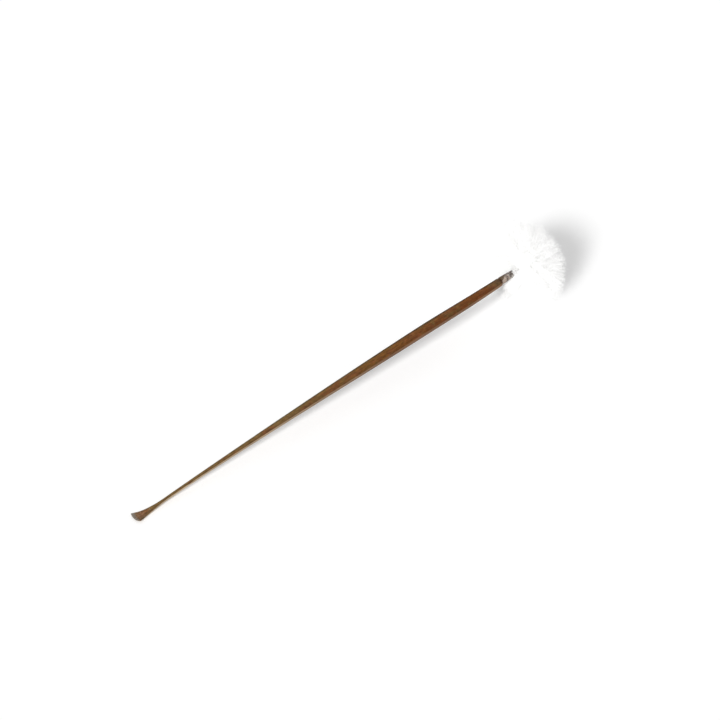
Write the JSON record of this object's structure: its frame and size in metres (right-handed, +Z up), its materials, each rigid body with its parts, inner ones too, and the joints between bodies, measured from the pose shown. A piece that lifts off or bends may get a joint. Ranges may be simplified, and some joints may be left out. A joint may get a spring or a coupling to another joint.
{
  "type": "ear pick",
  "caption": "Slender smoked-bamboo ear pick with a fan-shaped scoop at one end and a round white down puff bound on at the other.",
  "frame": {"origin": "on the surface the pick lies on, under the middle of its bounding box", "axes": "+X along the pick from the scoop to the puff, +Z up from the surface"},
  "size_m": [0.1722, 0.028, 0.0285],
  "materials": {
    "bamboo": "smoked bamboo, rubbed to a satin",
    "thread": "fine undyed thread",
    "down": "loose white down"
  },
  "bodies": {
    "root": {"bamboo_stick": "bamboo", "binding_thread": "thread", "down_plume_top": "down", "down_plume_upper_left": "down", "down_plume_lower_left": "down", "down_plume_bottom": "down", "down_plume_lower_right": "down", "down_plume_upper_right": "down"}
  },
  "joints": []
}
